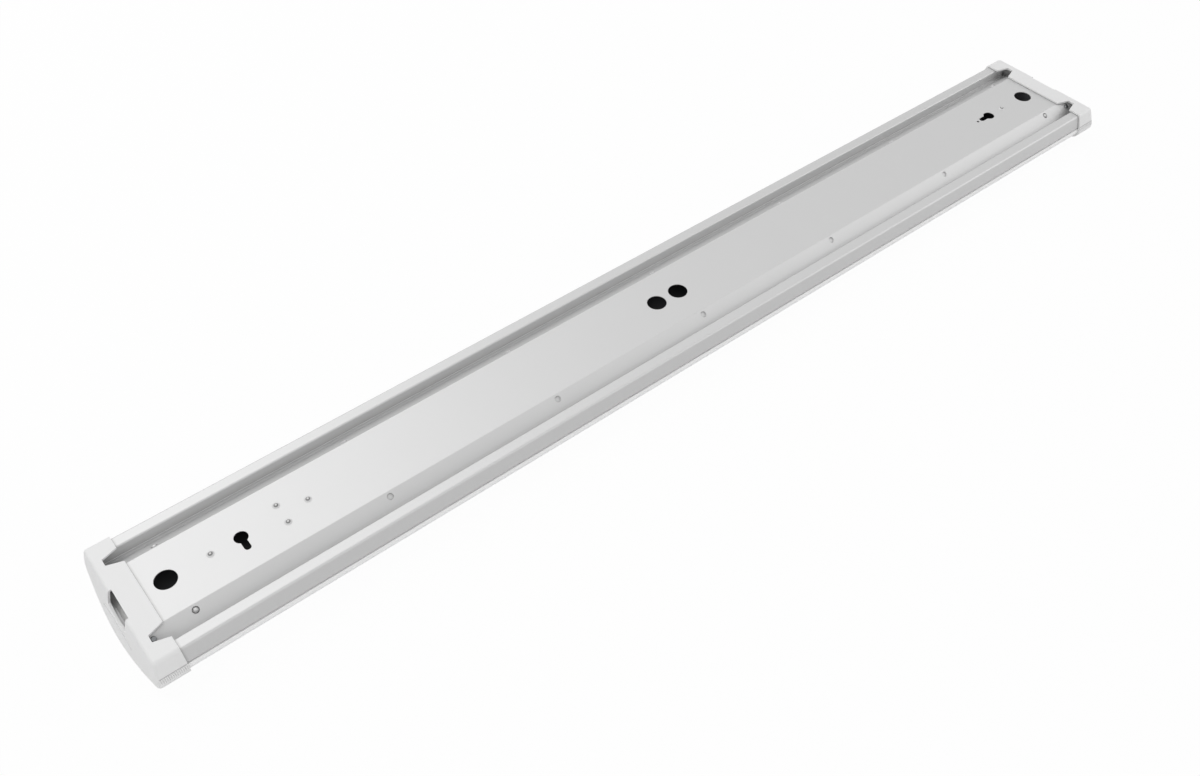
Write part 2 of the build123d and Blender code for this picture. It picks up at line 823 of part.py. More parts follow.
def earth_lead():
    """Earth lead from the mains terminal to the lug on the tray's stud."""
    block_end = terminal_x + terminal_length / 2
    way = terminal_way_ys()[-1]
    z = terminal_lead_z()
    far = lead_clip_x + clip_length / 2 + lead_bend_run + 1
    return lead([
        (block_end - terminal_length / 2 + 4, way, z),
        (far, way, z),
        (earth_stud_x - 12 - lead_bend_run, earth_stud_y, lug_lead_z()),
        (earth_stud_x - 5.2, earth_stud_y, lug_lead_z()),
    ])


def lug_lead_z():
    """Height of the earth lead where the lug grips it."""
    return tray_top + 0.9 + lead_radius


def earth_lug():
    """Ring lug with a crimped barrel round the earth lead."""
    ring = rod(4.2, (earth_stud_x, earth_stud_y, tray_top), 0.9)
    ring -= Pos(earth_stud_x, earth_stud_y, tray_top) * Cylinder(earth_stud_radius + 0.1, 6)
    tongue = box_between(
        (earth_stud_x - 11, earth_stud_y - 2.0, tray_top),
        (earth_stud_x - 3.6, earth_stud_y + 2.0, tray_top + 0.9),
    )
    barrel = rod(lead_half + 0.7, (earth_stud_x - 11, earth_stud_y, lug_lead_z()), 5.6, (1, 0, 0))
    barrel -= rod(lead_radius, (earth_stud_x - 12, earth_stud_y, lug_lead_z()), 8, (1, 0, 0))
    barrel -= box_between((earth_stud_x - 12, earth_stud_y - 5, -40), (earth_stud_x, earth_stud_y + 5, tray_top))
    body = ring + tongue + barrel
    bore = rod(lead_radius, (earth_stud_x - 12, earth_stud_y, lug_lead_z()), 8, (1, 0, 0))
    return body - bore - Pos(earth_stud_x, earth_stud_y, tray_top) * Cylinder(earth_stud_radius + 0.1, 6)


def earth_screw():
    """Earth screw through the tray, with its head on the LED side."""
    head = rod(3.6, (earth_stud_x, earth_stud_y, -tray_drop - 1.8), 1.8)
    head = chamfer(head.edges().filter_by(GeomType.CIRCLE).sort_by(Axis.Z)[0], 0.6)
    return head + rod(earth_stud_radius, (earth_stud_x, earth_stud_y, -tray_drop), 7.0)


def earth_nut():
    """Hexagon nut that clamps the lug on the earth screw."""
    seat = tray_top + 0.9
    nut = Pos(earth_stud_x, earth_stud_y, seat) * extrude(RegularPolygon(4.0, 6), 2.6)
    return nut - Pos(earth_stud_x, earth_stud_y, seat) * Cylinder(earth_stud_radius + screw_fit, 8)


def output_grommet():
    """Rubber grommet in the tray where the output leads pass to the LED side."""
    middle = tray_top - tray_sheet / 2
    collar = Pos(output_hole_x, 0, middle) * Cylinder(output_hole_radius + 1.4, tray_sheet + 2.4)
    web = Pos(output_hole_x, 0, middle) * Cylinder(output_hole_radius + 3, tray_sheet)
    web -= Pos(output_hole_x, 0, middle) * Cylinder(output_hole_radius - 0.02, tray_sheet + 1)
    collar -= web
    return collar - Pos(output_hole_x, 0, middle) * Cylinder(output_hole_radius - grommet_wall, 12)


def output_lead(side):
    """Output lead from the driver, down through the grommet, to a board's connector."""
    start = driver_x + driver_length / 2 + 1.0
    y = side * output_way_y
    low = board_face - 2.0
    return lead([
        (start - 6, y, driver_lead_z()),
        (output_hole_x, y, driver_lead_z()),
        (output_hole_x, y, low),
        (output_hole_x, side * (board_row_y - board_width / 2 + 6.0), low),
    ])


def board_input_connectors():
    """Connectors on the right-hand boards that take the driver's output leads."""
    connectors = []
    low = board_face - 2.0
    for side in (-1, 1):
        y = side * board_row_y
        block = box_between((output_hole_x - 4.5, y - 7, board_face - 4.2), (output_hole_x + 4.5, y + 7, board_face))
        block -= rod(lead_half, (output_hole_x, y - side * 7.5, low), 6, (0, side, 0))
        connectors.append(block)
    return Compound(connectors)


def board_links():
    """Bridging connectors that join the two boards of each row."""
    links = []
    for side in (-1, 1):
        y = side * board_row_y
        bridge = box_between((-board_gap / 2 - 5, y - 4, board_face - 2.6), (board_gap / 2 + 5, y + 4, board_face))
        links.append(fillet(bridge.edges().filter_by(Axis.Z), 1.0))
    return Compound(links)


def cap_screws():
    """Four screws that fix the end caps through the grooves' slopes."""
    screws = []
    for side in (-1, 1):
        for x in (-cap_screw_x, cap_screw_x):
            seat = slope_plane(x, cap_screw_along_slope, side)
            screws.append(pan_screw(seat, 6.0, cap_screw_head_radius))
    return Compound(screws)


def save(name, shape):
    """Write one piece as a STEP file."""
    export_step(shape, f"parts/{name}.step")


def build():
    """Make every piece and write it."""
    os.makedirs("parts", exist_ok=True)
    save("housing_channel", housing_channel())
    left_cap = end_cap()
    save("left_end_cap", left_cap)
    save("right_end_cap", Rot(0, 0, 180) * left_cap)
    save("end_cap_screws", cap_screws())
    save("lens_cover", lens_cover())
    save("gear_tray", gear_tray())
    save("front_snap_rail", snap_rail(-1))
    save("back_snap_rail", snap_rail(1))
    save("rail_rivets", rail_rivets())
    save("insulating_liner", insulating_liner())
    for index, (x, y) in enumerate(board_centres(), start=1):
        save(f"led_board_{index}", led_board(x, y))
        save(f"led_packages_{index}", led_packages(x, y))
    save("board_screws", screws_up(board_screw_places(), board_face, 3.4))
    save("board_input_connectors", board_input_connectors())
    save("board_links", board_links())
    save("driver_case", driver_case())
    save("driver_lid", driver_lid())
    ways = terminal_way_ys()
    save("driver_input_terminal", driver_terminal(-1, (-5.0, 5.0)))
    save("driver_output_terminal", driver_terminal(1, (-output_way_y, output_way_y)))
    save("driver_screws", screws_down(driver_screw_places(), liner_top + driver_ear_thickness, 5.0))
    save("mains_terminal_block", mains_terminal_block())
    save("mains_terminal_screws", mains_terminal_screws())
    save("lead_clip", saddle_clip(lead_clip_x, ways))
    save("left_entry_clip", saddle_clip(-entry_clip_x, []))
    save("right_entry_clip", saddle_clip(entry_clip_x, []))
    save("live_lead", mains_lead(ways[0], -0.5, -5.0))
    save("neutral_lead", mains_lead(ways[1], 0.5, 5.0))
    save("earth_lead", earth_lead())
    save("earth_lug", earth_lug())
    save("earth_screw", earth_screw())
    save("earth_nut", earth_nut())
    save("output_grommet", output_grommet())
    save("positive_output_lead", output_lead(1))
    save("negative_output_lead", output_lead(-1))


build()
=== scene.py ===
"""Surface-mounted LED ceiling light: finishes, small repeated pieces and a plain studio.

The solids come from the frame. Lengths in the settings are in metres, as Blender shows them.
"""

import math

import bmesh
import bpy
from bpy.props import FloatProperty, FloatVectorProperty, PointerProperty
from mathutils import Matrix, Vector


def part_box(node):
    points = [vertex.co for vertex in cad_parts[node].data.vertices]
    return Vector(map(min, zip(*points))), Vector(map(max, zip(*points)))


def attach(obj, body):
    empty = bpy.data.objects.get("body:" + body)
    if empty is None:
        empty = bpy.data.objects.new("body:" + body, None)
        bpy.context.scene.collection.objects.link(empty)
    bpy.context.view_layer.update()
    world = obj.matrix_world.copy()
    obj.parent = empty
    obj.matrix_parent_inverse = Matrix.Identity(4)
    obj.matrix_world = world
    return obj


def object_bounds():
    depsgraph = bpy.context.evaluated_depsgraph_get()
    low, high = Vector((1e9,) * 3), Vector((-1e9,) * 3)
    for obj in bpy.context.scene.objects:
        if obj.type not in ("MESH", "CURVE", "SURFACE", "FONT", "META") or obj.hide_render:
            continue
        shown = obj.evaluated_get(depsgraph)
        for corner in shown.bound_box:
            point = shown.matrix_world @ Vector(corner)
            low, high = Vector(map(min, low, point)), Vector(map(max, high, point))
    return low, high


bl_info = {
    "name": "Linear ceiling light",
    "version": (1, 0, 0),
    "blender": (4, 5, 0),
    "location": "3D View > Sidebar > Ceiling light",
    "description": "Finishes a surface-mounted LED ceiling light and sets up its studio",
    "category": "Object",
}

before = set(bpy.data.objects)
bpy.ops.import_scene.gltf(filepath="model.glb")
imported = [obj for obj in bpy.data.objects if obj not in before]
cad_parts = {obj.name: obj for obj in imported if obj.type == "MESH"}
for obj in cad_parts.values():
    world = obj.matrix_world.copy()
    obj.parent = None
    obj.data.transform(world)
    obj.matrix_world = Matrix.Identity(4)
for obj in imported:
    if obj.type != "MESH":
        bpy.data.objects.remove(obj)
cad_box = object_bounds()

MM = 0.001
BODY = "root"
BOARD_COUNT = 4
FLOOR_SPAN = 40.0

# The photograph's camera: its place in metres, its axes and its focal length in pixels
PHOTO_WIDTH = 1200
FOCAL_PIXELS = 1179.0
SENSOR_WIDTH = 36.0
CAMERA_PLACE = (-0.6144, -0.6434, 0.8209)
CAMERA_AXES = ((0.7819, -0.6234, 0.0), (0.4599, 0.5766, 0.6754), (-0.4209, -0.5281, 0.7375))
BACK_LAMP_PLACE = (-0.75, 1.8, 2.3)
SIDE_LAMP_PLACE = (2.5, -1.5, 1.1)
FRONT_LAMP_PLACE = (-1.9, -2.05, 0.9)

# Inside of an end cap's leaning wall, and the foam strip that follows it
CAP_INSIDE = 597.9 * MM
CAP_TOP = 2.3 * MM
CAP_LEAN = 0.29
CAP_LEAN_SPAN = 110.0 * MM
SEAL_HALF_WIDTH = 50.0 * MM
SEAL_LAP = 1.2 * MM
SEAL_STEPS = 20

# Half section of the housing's groove, and the end dimples on its inner slope
PANEL_EDGE = 35.7 * MM
GROOVE_FLOOR = 52.0 * MM
GROOVE_DEPTH = 12.0 * MM
SLOPE = math.atan2(GROOVE_DEPTH, GROOVE_FLOOR - PANEL_EDGE)
DIMPLE_X = 551.1 * MM
DIMPLE_ALONG = 5.1 * MM
DIMPLE_DEPTH = 1.4 * MM

# Facets of the small round pieces, and the solder fillet's radii at its top and its foot
ROUND_SEGMENTS = 24
FILLET_SEGMENTS = 8
FILLET_TOP_RADIUS = 0.15 * MM
FILLET_FOOT_RADIUS = 0.5 * MM

# Pieces whose pegs come up through the panel, with the pegs' places across the light
PEG_OFFSETS = {
    "left_entry_clip": (0.0,),
    "right_entry_clip": (0.0,),
    "lead_clip": (0.0,),
    "mains_terminal_block": (-11 * MM, 11 * MM),
}

# Ends of the light, with the side of the origin that each lies on
ENDS = {"left": -1, "right": 1}

# Sockets of a Mix node that mixes colours, and the samples of the painted shade in seams
COLOUR_A = 6
COLOUR_B = 7
COLOUR_RESULT = 2
PAINTED_SHADE_SAMPLES = 8

LEAD_COLOURS = {
    "live_lead": ("brown_pvc", "#5B3420"),
    "neutral_lead": ("blue_pvc", "#2A5FA8"),
    "earth_lead": ("green_pvc", "#3E8F3F"),
    "positive_output_lead": ("red_pvc", "#B3201C"),
    "negative_output_lead": ("black_pvc", "#1B1B1B"),
}
FASTENERS = ("end_cap_screws", "board_screws", "driver_screws", "earth_lug", "earth_screw", "earth_nut")


def linear(hex_code):
    """Linear colour of an sRGB hex code."""
    channels = []
    for index in (1, 3, 5):
        value = int(hex_code[index:index + 2], 16) / 255
        channels.append(value / 12.92 if value <= 0.04045 else ((value + 0.055) / 1.055) ** 2.4)
    return tuple(channels)


def colour(name, description, hex_code):
    """A colour setting with its default."""
    return FloatVectorProperty(
        name=name, description=description, subtype="COLOR", size=3, min=0, max=1, default=linear(hex_code)
    )


def length(name, description, millimetres):
    """A length setting with its default."""
    return FloatProperty(
        name=name, description=description, subtype="DISTANCE", unit="LENGTH", min=0, precision=5,
        default=millimetres * MM,
    )


def add_node(tree, kind, links=None, **settings):
    """Add a node, set its named sockets and attributes, and link its inputs."""
    node = tree.nodes.new(kind)
    for name, value in settings.items():
        setattr(node, name, value)
    for socket, value in (links or {}).items():
        if isinstance(value, bpy.types.NodeSocket):
            tree.links.new(value, node.inputs[socket])
        else:
            node.inputs[socket].default_value = value
    return node


def rgba(value):
    """A colour with full alpha."""
    return (value[0], value[1], value[2], 1.0)


def surface_material(
    name, base, bump_mm=0.0, grain_mm=1.0, tone=0.0, tone_mm=60.0, painted_shade=0.0, painted_shade_mm=1.5, **shader_values
):
    """Principled material with a fine surface relief and a faint drift of its tone.

    The grain and the drift are noise on Object coordinates, so their sizes are real ones. A share given as
    painted_shade darkens the colour in narrow grooves and seams by their ambient occlusion: painted shade.
    """
    material = bpy.data.materials.new(name)
    material.use_nodes = True
    tree = material.node_tree
    tree.nodes.clear()
    place = add_node(tree, "ShaderNodeTexCoord").outputs["Object"]
    shade = rgba(base)
    if tone:
        drift = add_node(
            tree, "ShaderNodeTexNoise", {"Vector": place, "Scale": 1 / (tone_mm * MM), "Detail": 3.0}
        )
        dark = tuple(channel * (1 - tone) for channel in base)
        mixed = add_node(
            tree, "ShaderNodeMix", {"Factor": drift.outputs["Fac"], COLOUR_A: rgba(dark), COLOUR_B: shade},
            data_type="RGBA",
        )
        shade = mixed.outputs[COLOUR_RESULT]
    # Painted shade: ambient occlusion darkens the base colour in grooves and seams
    if painted_shade:
        seam = add_node(
            tree, "ShaderNodeAmbientOcclusion", {"Color": (1, 1, 1, 1), "Distance": painted_shade_mm * MM},
            samples=PAINTED_SHADE_SAMPLES,
        )
        darkened = add_node(
            tree, "ShaderNodeMix", {"Factor": painted_shade, COLOUR_A: shade, COLOUR_B: seam.outputs["Color"]},
            data_type="RGBA", blend_type="MULTIPLY",
        )
        shade = darkened.outputs[COLOUR_RESULT]
    inputs = {"Base Color": shade}
    for socket, value in shader_values.items():
        inputs[socket.replace("_", " ").title().replace("Ior", "IOR")] = value
    if bump_mm:
        grain = add_node(
            tree, "ShaderNodeTexNoise", {"Vector": place, "Scale": 1 / (grain_mm * MM), "Detail": 2.0}
        )
        bump = add_node(
            tree, "ShaderNodeBump",
            {"Height": grain.outputs["Fac"], "Distance": bump_mm * MM, "Strength": 1.0},
        )
        inputs["Normal"] = bump.outputs["Normal"]
    shader = add_node(tree, "ShaderNodeBsdfPrincipled", inputs)
    add_node(tree, "ShaderNodeOutputMaterial", {"Surface": shader.outputs[0]})
    return material


def paint(nodes, material):
    """Give CAD nodes one material."""
    for name in nodes:
        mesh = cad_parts[name].data
        mesh.materials.clear()
        mesh.materials.append(material)


def new_object(name, data):
    """New object in the scene for a mesh, a lamp or a camera."""
    item = bpy.data.objects.new(name, data)
    bpy.context.collection.objects.link(item)
    return item


class LightFinishes(bpy.types.PropertyGroup):
    """Colours of the light's finishes."""

    coat: colour("Powder coat", "White powder coat of the folded housing", "#CECECE")
    cap: colour("End caps", "White of the moulded end caps", "#EDEDED")
    lens: colour("Lens", "Opal white of the extruded lens", "#FDFDFD")
    tray: colour("Tray coat", "White coat of the gear tray", "#F4F4F2")
    # Painted shade: the sheet's dark grey stands in for the shade inside the closed housing, seen through
    # the panel's holes
    liner: colour("Liner", "Soft black of the insulating sheet", "#48484A")
    board: colour("LED boards", "White solder mask of the boards", "#EEF0EC")
    phosphor: colour("LED phosphor", "Yellow of the LED packages' phosphor", "#E7C24A")
    # Painted shade: the zinc's grey is darker than bright zinc, for the screws that sit in the shade of the
    # caps' notches
    zinc: colour("Zinc", "Zinc of the screws and the earth lug", "#8E9092")
    brass: colour("Brass", "Brass of the clamping screws", "#D2AE62")
    driver: colour("Driver case", "White of the driver's moulded case", "#DCDCDA")
    terminal: colour("Terminals", "Grey of the terminal blocks", "#B9BAB8")
    clip: colour("Clips", "White nylon of the clips and connectors", "#EDEDEB")


class SmallSizes(bpy.types.PropertyGroup):
    """Sizes of the small repeated pieces."""

    package_length: length("Package length", "Length of an LED package along the board", 3.5)
    fillet_width: length("Fillet width", "Width of a solder fillet across the board", 2.4)
    fillet_height: length("Fillet height", "Height of a solder fillet above the board", 0.5)
    tip_radius: length("Peg tip radius", "Radius of a peg's rounded tip in its pip", 1.15)
    tip_height: length("Peg tip height", "Height of a peg's tip above its foot", 1.3)
    tip_seat: length("Peg tip seat", "Height of the tip's foot above the panel", 0.9)
    # Painted shade: the pierced edge is a dark ring round each peg tip, standing for the shadowed gap there
    shade_ring_radius: length("Pierced edge radius", "Radius of the bare edge round a peg", 2.1)
    shade_ring_height: length("Pierced edge height", "Height of the bare edge round a peg", 0.7)
    nib_radius: length("Nib radius", "Radius of the nib in an end dimple", 2.3)
    nib_height: length("Nib height", "Height of a nib above its dimple's floor", 2.7)
    nib_foot_radius: length("Nib foot radius", "Radius of the rise round a nib's foot", 2.38)
    nib_foot_height: length("Nib foot height", "Height of the rise round a nib's foot", 0.9)
    strip_length: length("Strip length", "Length of the strip at each end of the insulating sheet", 14.0)
    seal_thickness: length("Seal thickness", "Thickness of the foam seal at each end of the tray", 2.2)


class StudioSettings(bpy.types.PropertyGroup):
    """Levels of the studio's lamps and the size of its floor."""

    world_level: FloatProperty(
        name="World level", description="Strength of the even light from all round", min=0, default=0.5
    )
    back_power: FloatProperty(
        name="Back lamp", description="Power of the soft lamp above and behind", subtype="POWER", min=0,
        default=40.0,
    )
    back_size: length("Back lamp size", "Edge of the lamp above and behind", 3000.0)
    side_power: FloatProperty(
        name="Side lamp", description="Power of the soft lamp at the far end", subtype="POWER", min=0,
        default=22.0,
    )
    side_size: length("Side lamp size", "Edge of the lamp at the far end", 2800.0)
    front_power: FloatProperty(
        name="Front lamp", description="Power of the soft lamp before the near end", subtype="POWER", min=0,
        default=12.0,
    )
    front_size: length("Front lamp size", "Edge of the lamp before the near end", 2000.0)
    floor: colour("Floor", "Colour of the floor", "#F4F4F4")
    backdrop_share: FloatProperty(
        name="Backdrop share", description="How far the floor shows as plain white to the camera",
        subtype="FACTOR", min=0, max=1, default=0.96,
    )


class FinishHousing(bpy.types.Operator):
    """Give the folded housing its white powder coat"""

    bl_idname = "ceiling_light.finish_housing"
    bl_label = "Finish housing"

    def execute(self, context):
        finishes = context.scene.light_finishes
        # Polyester powder baked on steel: a satin sheen with the faint ripple called orange peel.
        # Painted shade: ambient occlusion darkens the coat's colour in its grooves and seams.
        coat = surface_material(
            "satin_powder_coat", finishes.coat, bump_mm=0.02, grain_mm=1.6, tone=0.02, painted_shade=0.45,
            painted_shade_mm=2.5, roughness=0.48, ior=1.5, metallic=0.46,
        )
        paint(["housing_channel"], coat)
        return {"FINISHED"}


class FinishEndCaps(bpy.types.Operator):
    """Give the moulded end caps their white plastic"""

    bl_idname = "ceiling_light.finish_end_caps"
    bl_label = "Finish end caps"

    def execute(self, context):
        finishes = context.scene.light_finishes
        # Injection-moulded ABS from a finely sparked mould: an even, soft sheen.
        # Painted shade: ambient occlusion darkens the moulding's colour in its ribs, grooves and seams.
        moulding = surface_material(
            "moulded_white_abs", finishes.cap, bump_mm=0.012, grain_mm=0.5, tone=0.01, painted_shade=0.3,
            painted_shade_mm=1.6, roughness=0.38, ior=1.53,
        )
        paint(["left_end_cap", "right_end_cap"], moulding)
        return {"FINISHED"}


class FinishLens(bpy.types.Operator):
    """Give the extruded lens its opal plastic"""

    bl_idname = "ceiling_light.finish_lens"
    bl_label = "Finish lens"

    def execute(self, context):
        finishes = context.scene.light_finishes
        # Extruded opal polycarbonate: light spreads inside the wall, so edges look soft.
        opal = surface_material(
            "opal_polycarbonate", finishes.lens, roughness=0.35, ior=1.58,
            subsurface_weight=0.3, subsurface_radius=(1.0, 1.0, 1.0), subsurface_scale=0.0015,
        )
        paint(["lens_cover"], opal)
        return {"FINISHED"}


class FinishGearTray(bpy.types.Operator):
    """Give the gear tray its coat and its insulating sheet a dark grey that is painted shade"""

    bl_idname = "ceiling_light.finish_gear_tray"
    bl_label = "Finish gear tray"

    def execute(self, context):
        finishes = context.scene.light_finishes
        # Coil-coated reflector steel: smoother than the housing's powder.
        coat = surface_material(
            "coil_coated_steel", finishes.tray, bump_mm=0.004, grain_mm=1.2, roughness=0.35, ior=1.5,
        )
        # Calendered polypropylene sheet with a dull grained face; its dark grey is painted shade for the
        # dark inside of the closed housing, seen through the panel's holes.
        sheet = surface_material(
            "dark_sheet_painted_shade", finishes.liner, bump_mm=0.02, grain_mm=0.4, roughness=0.6, ior=1.49,
            specular_ior_level=0.2,
        )
        paint(["gear_tray", "front_snap_rail", "back_snap_rail"], coat)
        paint(["insulating_liner"], sheet)
        return {"FINISHED"}


class FinishBoards(bpy.types.Operator):
    """Give the LED boards, their LED packages and their connectors their finishes"""

    bl_idname = "ceiling_light.finish_boards"
    bl_label = "Finish LED boards"

    def execute(self, context):
        finishes = context.scene.light_finishes
        # White solder mask on laminate: glossy, with the weave just felt.
        mask = surface_material(
            "white_solder_mask", finishes.board, bump_mm=0.003, grain_mm=0.8, roughness=0.28, ior=1.55,
        )
        # Silicone with yellow phosphor powder cured in each LED's cup.
        phosphor = surface_material(
            "phosphor_silicone", finishes.phosphor, bump_mm=0.002, grain_mm=0.2, tone=0.05, tone_mm=1.0,
            roughness=0.3, ior=1.41,
        )
        nylon = clip_nylon(finishes)
        numbers = range(1, BOARD_COUNT + 1)
        paint([f"led_board_{number}" for number in numbers], mask)
        paint([f"led_packages_{number}" for number in numbers], phosphor)
        paint(["board_links", "board_input_connectors"], nylon)
        return {"FINISHED"}


class FinishDriver(bpy.types.Operator):
    """Give the driver's case, lid and terminals their plastic"""

    bl_idname = "ceiling_light.finish_driver"
    bl_label = "Finish driver"

    def execute(self, context):
        finishes = context.scene.light_finishes
        # Flame-retardant polycarbonate moulded with a fine spark texture.
        case = surface_material(
            "textured_polycarbonate", finishes.driver, bump_mm=0.02, grain_mm=0.4, roughness=0.5, ior=1.58,
        )
        paint(["driver_case", "driver_lid"], case)
        paint(["driver_input_terminal", "driver_output_terminal"], terminal_polyamide(finishes))
        return {"FINISHED"}


class FinishTerminals(bpy.types.Operator):
    """Give the mains terminal block and the snap-in clips their finishes"""

    bl_idname = "ceiling_light.finish_terminals"
    bl_label = "Finish terminals and clips"

    def execute(self, context):
        finishes = context.scene.light_finishes
        # Turned brass screws, bright from the tool.
        brass = surface_material(
            "turned_brass", finishes.brass, bump_mm=0.003, grain_mm=0.3, metallic=1.0, roughness=0.3,
        )
        paint(["mains_terminal_block"], terminal_polyamide(finishes))
        paint(["mains_terminal_screws"], brass)
        paint(["lead_clip", "left_entry_clip", "right_entry_clip"], clip_nylon(finishes))
        return {"FINISHED"}


class FinishLeads(bpy.types.Operator):
    """Give each internal lead its insulation and the grommet its rubber"""

    bl_idname = "ceiling_light.finish_leads"
    bl_label = "Finish leads"

    def execute(self, context):
        # Extruded PVC insulation: a waxy, even sheen.
        for node, (name, hex_code) in LEAD_COLOURS.items():
            pvc = surface_material(
                name, linear(hex_code), bump_mm=0.004, grain_mm=1.5, roughness=0.35, ior=1.53,
            )
            paint([node], pvc)
        # Moulded rubber: black and dull, with a faint bloom.
        rubber = surface_material(
            "moulded_rubber", linear("#111111"), bump_mm=0.01, grain_mm=0.5, tone=0.2, tone_mm=3.0,
            roughness=0.7, ior=1.52,
        )
        paint(["output_grommet"], rubber)
        return {"FINISHED"}


class FinishFasteners(bpy.types.Operator):
    """Give the screws, the nut and the earth lug their zinc, darkened as painted shade"""

    bl_idname = "ceiling_light.finish_fasteners"
    bl_label = "Finish fasteners"

    def execute(self, context):
        finishes = context.scene.light_finishes
        # Zinc plated on cold-headed steel, slightly clouded; its grey is darkened as painted shade for the
        # notch screws.
        zinc = surface_material(
            "zinc_plate_painted_shade", finishes.zinc, bump_mm=0.003, grain_mm=0.4, tone=0.08, tone_mm=2.0,
            metallic=1.0, roughness=0.28,
        )
        paint(FASTENERS, zinc)
        return {"FINISHED"}


class AddSolderFillets(bpy.types.Operator):
    """Add the two solder fillets at every LED package"""

    bl_idname = "ceiling_light.add_solder_fillets"
    bl_label = "Add solder fillets"

    def execute(self, context):
        sizes = context.scene.light_sizes
        # Tin-silver solder, reflowed: a bright, slightly frosted metal.
        solder = surface_material(
            "reflowed_solder", linear("#C4C6C8"), bump_mm=0.004, grain_mm=0.3, metallic=1.0, roughness=0.35,
        )
        values = {
            "Package Length": sizes.package_length,
            "Fillet Width": sizes.fillet_width,
            "Fillet Height": sizes.fillet_height,
        }
        trees = [fillet_tree(solder, values)]
        drop = Vector((0, 0, sizes.fillet_height / 2))
        for number in range(1, BOARD_COUNT + 1):
            centres = package_centres(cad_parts[f"led_packages_{number}"])
            places = [centre - drop for centre in centres]
            piece = piece_on_points(f"solder_fillets_{number}", places, trees, values)
            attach(piece, BODY)
        return {"FINISHED"}


class AddPegTips(bpy.types.Operator):
    """Add the rounded tips of the pegs on the panel's pips"""

    bl_idname = "ceiling_light.add_peg_tips"
    bl_label = "Add peg tips"

    def execute(self, context):
        sizes = context.scene.light_sizes
        values = {
            "Tip Radius": sizes.tip_radius,
            "Tip Height": sizes.tip_height,
            "Edge Radius": sizes.shade_ring_radius,
            "Edge Height": sizes.shade_ring_height,
            "Lean": 0.0,
        }
        # The collar round each tip is a dark ring of painted shade.
        trees = [
            dome_tree("peg_tips", clip_nylon(context.scene.light_finishes), values),
            collar_tree("painted_shade_rings", painted_shade_ring(), values),
        ]
        piece = piece_on_points("peg_tips", peg_places(sizes.tip_seat), trees, values)
        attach(piece, BODY)
        return {"FINISHED"}


class AddSnapNibs(bpy.types.Operator):
    """Add the nibs in the end dimples of the grooves"""

    bl_idname = "ceiling_light.add_snap_nibs"
    bl_label = "Add snap nibs"

    def execute(self, context):
        sizes = context.scene.light_sizes
        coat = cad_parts["housing_channel"].data.materials[0]
        values = {
            "Tip Radius": sizes.nib_radius,
            "Tip Height": sizes.nib_height,
            "Edge Radius": sizes.nib_foot_radius,
            "Edge Height": sizes.nib_foot_height,
            "Lean": SLOPE,
        }
        trees = [dome_tree("snap_nibs", coat, values), collar_tree("nib_feet", coat, values)]
        piece = piece_on_points("snap_nibs", dimple_places(), trees, values)
        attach(piece, BODY)
        return {"FINISHED"}


class AddSheetStrips(bpy.types.Operator):
    """Add dark strips that carry the insulating sheet on to the end seals: painted shade over the tray's
    ends, seen through the panel's end holes
    """

    bl_idname = "ceiling_light.add_sheet_strips"
    bl_label = "Add sheet strips"

    def execute(self, context):
        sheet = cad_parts["insulating_liner"].data.materials[0]
        for end, turn in ENDS.items():
            name = f"{end}_sheet_strip"
            mesh = strip_mesh(name, context.scene.light_sizes.strip_length, turn)
            mesh.materials.append(sheet)
            piece = new_object(name, mesh)
            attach(piece, BODY)
        return {"FINISHED"}


class AddEndSeals(bpy.types.Operator):
    """Add the foam seals between the tray's ends and the end caps"""

    bl_idname = "ceiling_light.add_end_seals"
    bl_label = "Add end seals"

    def execute(self, context):
        # Fine-celled polyethylene foam: pale grey and quite matt.
        foam = surface_material(
            "grey_polyethylene_foam", linear("#D2D2D2"), bump_mm=0.05, grain_mm=0.4, roughness=0.8, ior=1.5,
        )
        for end, turn in ENDS.items():
            name = f"{end}_end_seal"
            mesh = seal_mesh(name, context.scene.light_sizes.seal_thickness, turn)
            mesh.materials.append(foam)
            piece = new_object(name, mesh)
            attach(piece, BODY)
        return {"FINISHED"}


class BuildStudio(bpy.types.Operator):
    """Add the floor, the lamps, the even world light and the camera"""

    bl_idname = "ceiling_light.build_studio"
    bl_label = "Build studio"

    def execute(self, context):
        studio = context.scene.light_studio
        make_floor(studio)
        make_lamps(studio)
        make_world(studio)
        make_camera()
        context.scene.view_settings.view_transform = "Standard"
        return {"FINISHED"}


def clip_nylon(finishes):
    """White polyamide of clips and connectors, with a soft sheen and painted shade darkening its colour in
    hollows and seams.
    """
    return surface_material(
        "white_polyamide", finishes.clip, bump_mm=0.005, grain_mm=0.5, painted_shade=0.8, roughness=0.4, ior=1.53,
    )


def terminal_polyamide(finishes):
    """Grey polyamide of terminal blocks."""
    return surface_material(
        "grey_polyamide", finishes.terminal, bump_mm=0.008, grain_mm=0.4, roughness=0.42, ior=1.53,
    )


def painted_shade_ring():
    """Dark grey ring round a peg tip: painted shade, standing for the shadowed gap where the tip sits in its
    pip.
    """
    return surface_material(
        "dark_ring_painted_shade", linear("#8C8C8C"), tone=0.2, tone_mm=1.0, metallic=0.6, roughness=0.6,
    )


def tree_with_inputs(name, labels, values):
    """Geometry Nodes tree that takes points and named sizes, with the outputs of its group input."""
    tree = bpy.data.node_groups.new(name, "GeometryNodeTree")
    add_socket = tree.interface.new_socket
    add_socket("Geometry", in_out="INPUT", socket_type="NodeSocketGeometry")
    for label in labels:
        socket = add_socket(label, in_out="INPUT", socket_type="NodeSocketFloat")
        socket.subtype = "ANGLE" if label == "Lean" else "DISTANCE"
        socket.default_value = values[label]
    add_socket("Geometry", in_out="OUTPUT", socket_type="NodeSocketGeometry")
    return tree, add_node(tree, "NodeGroupInput").outputs


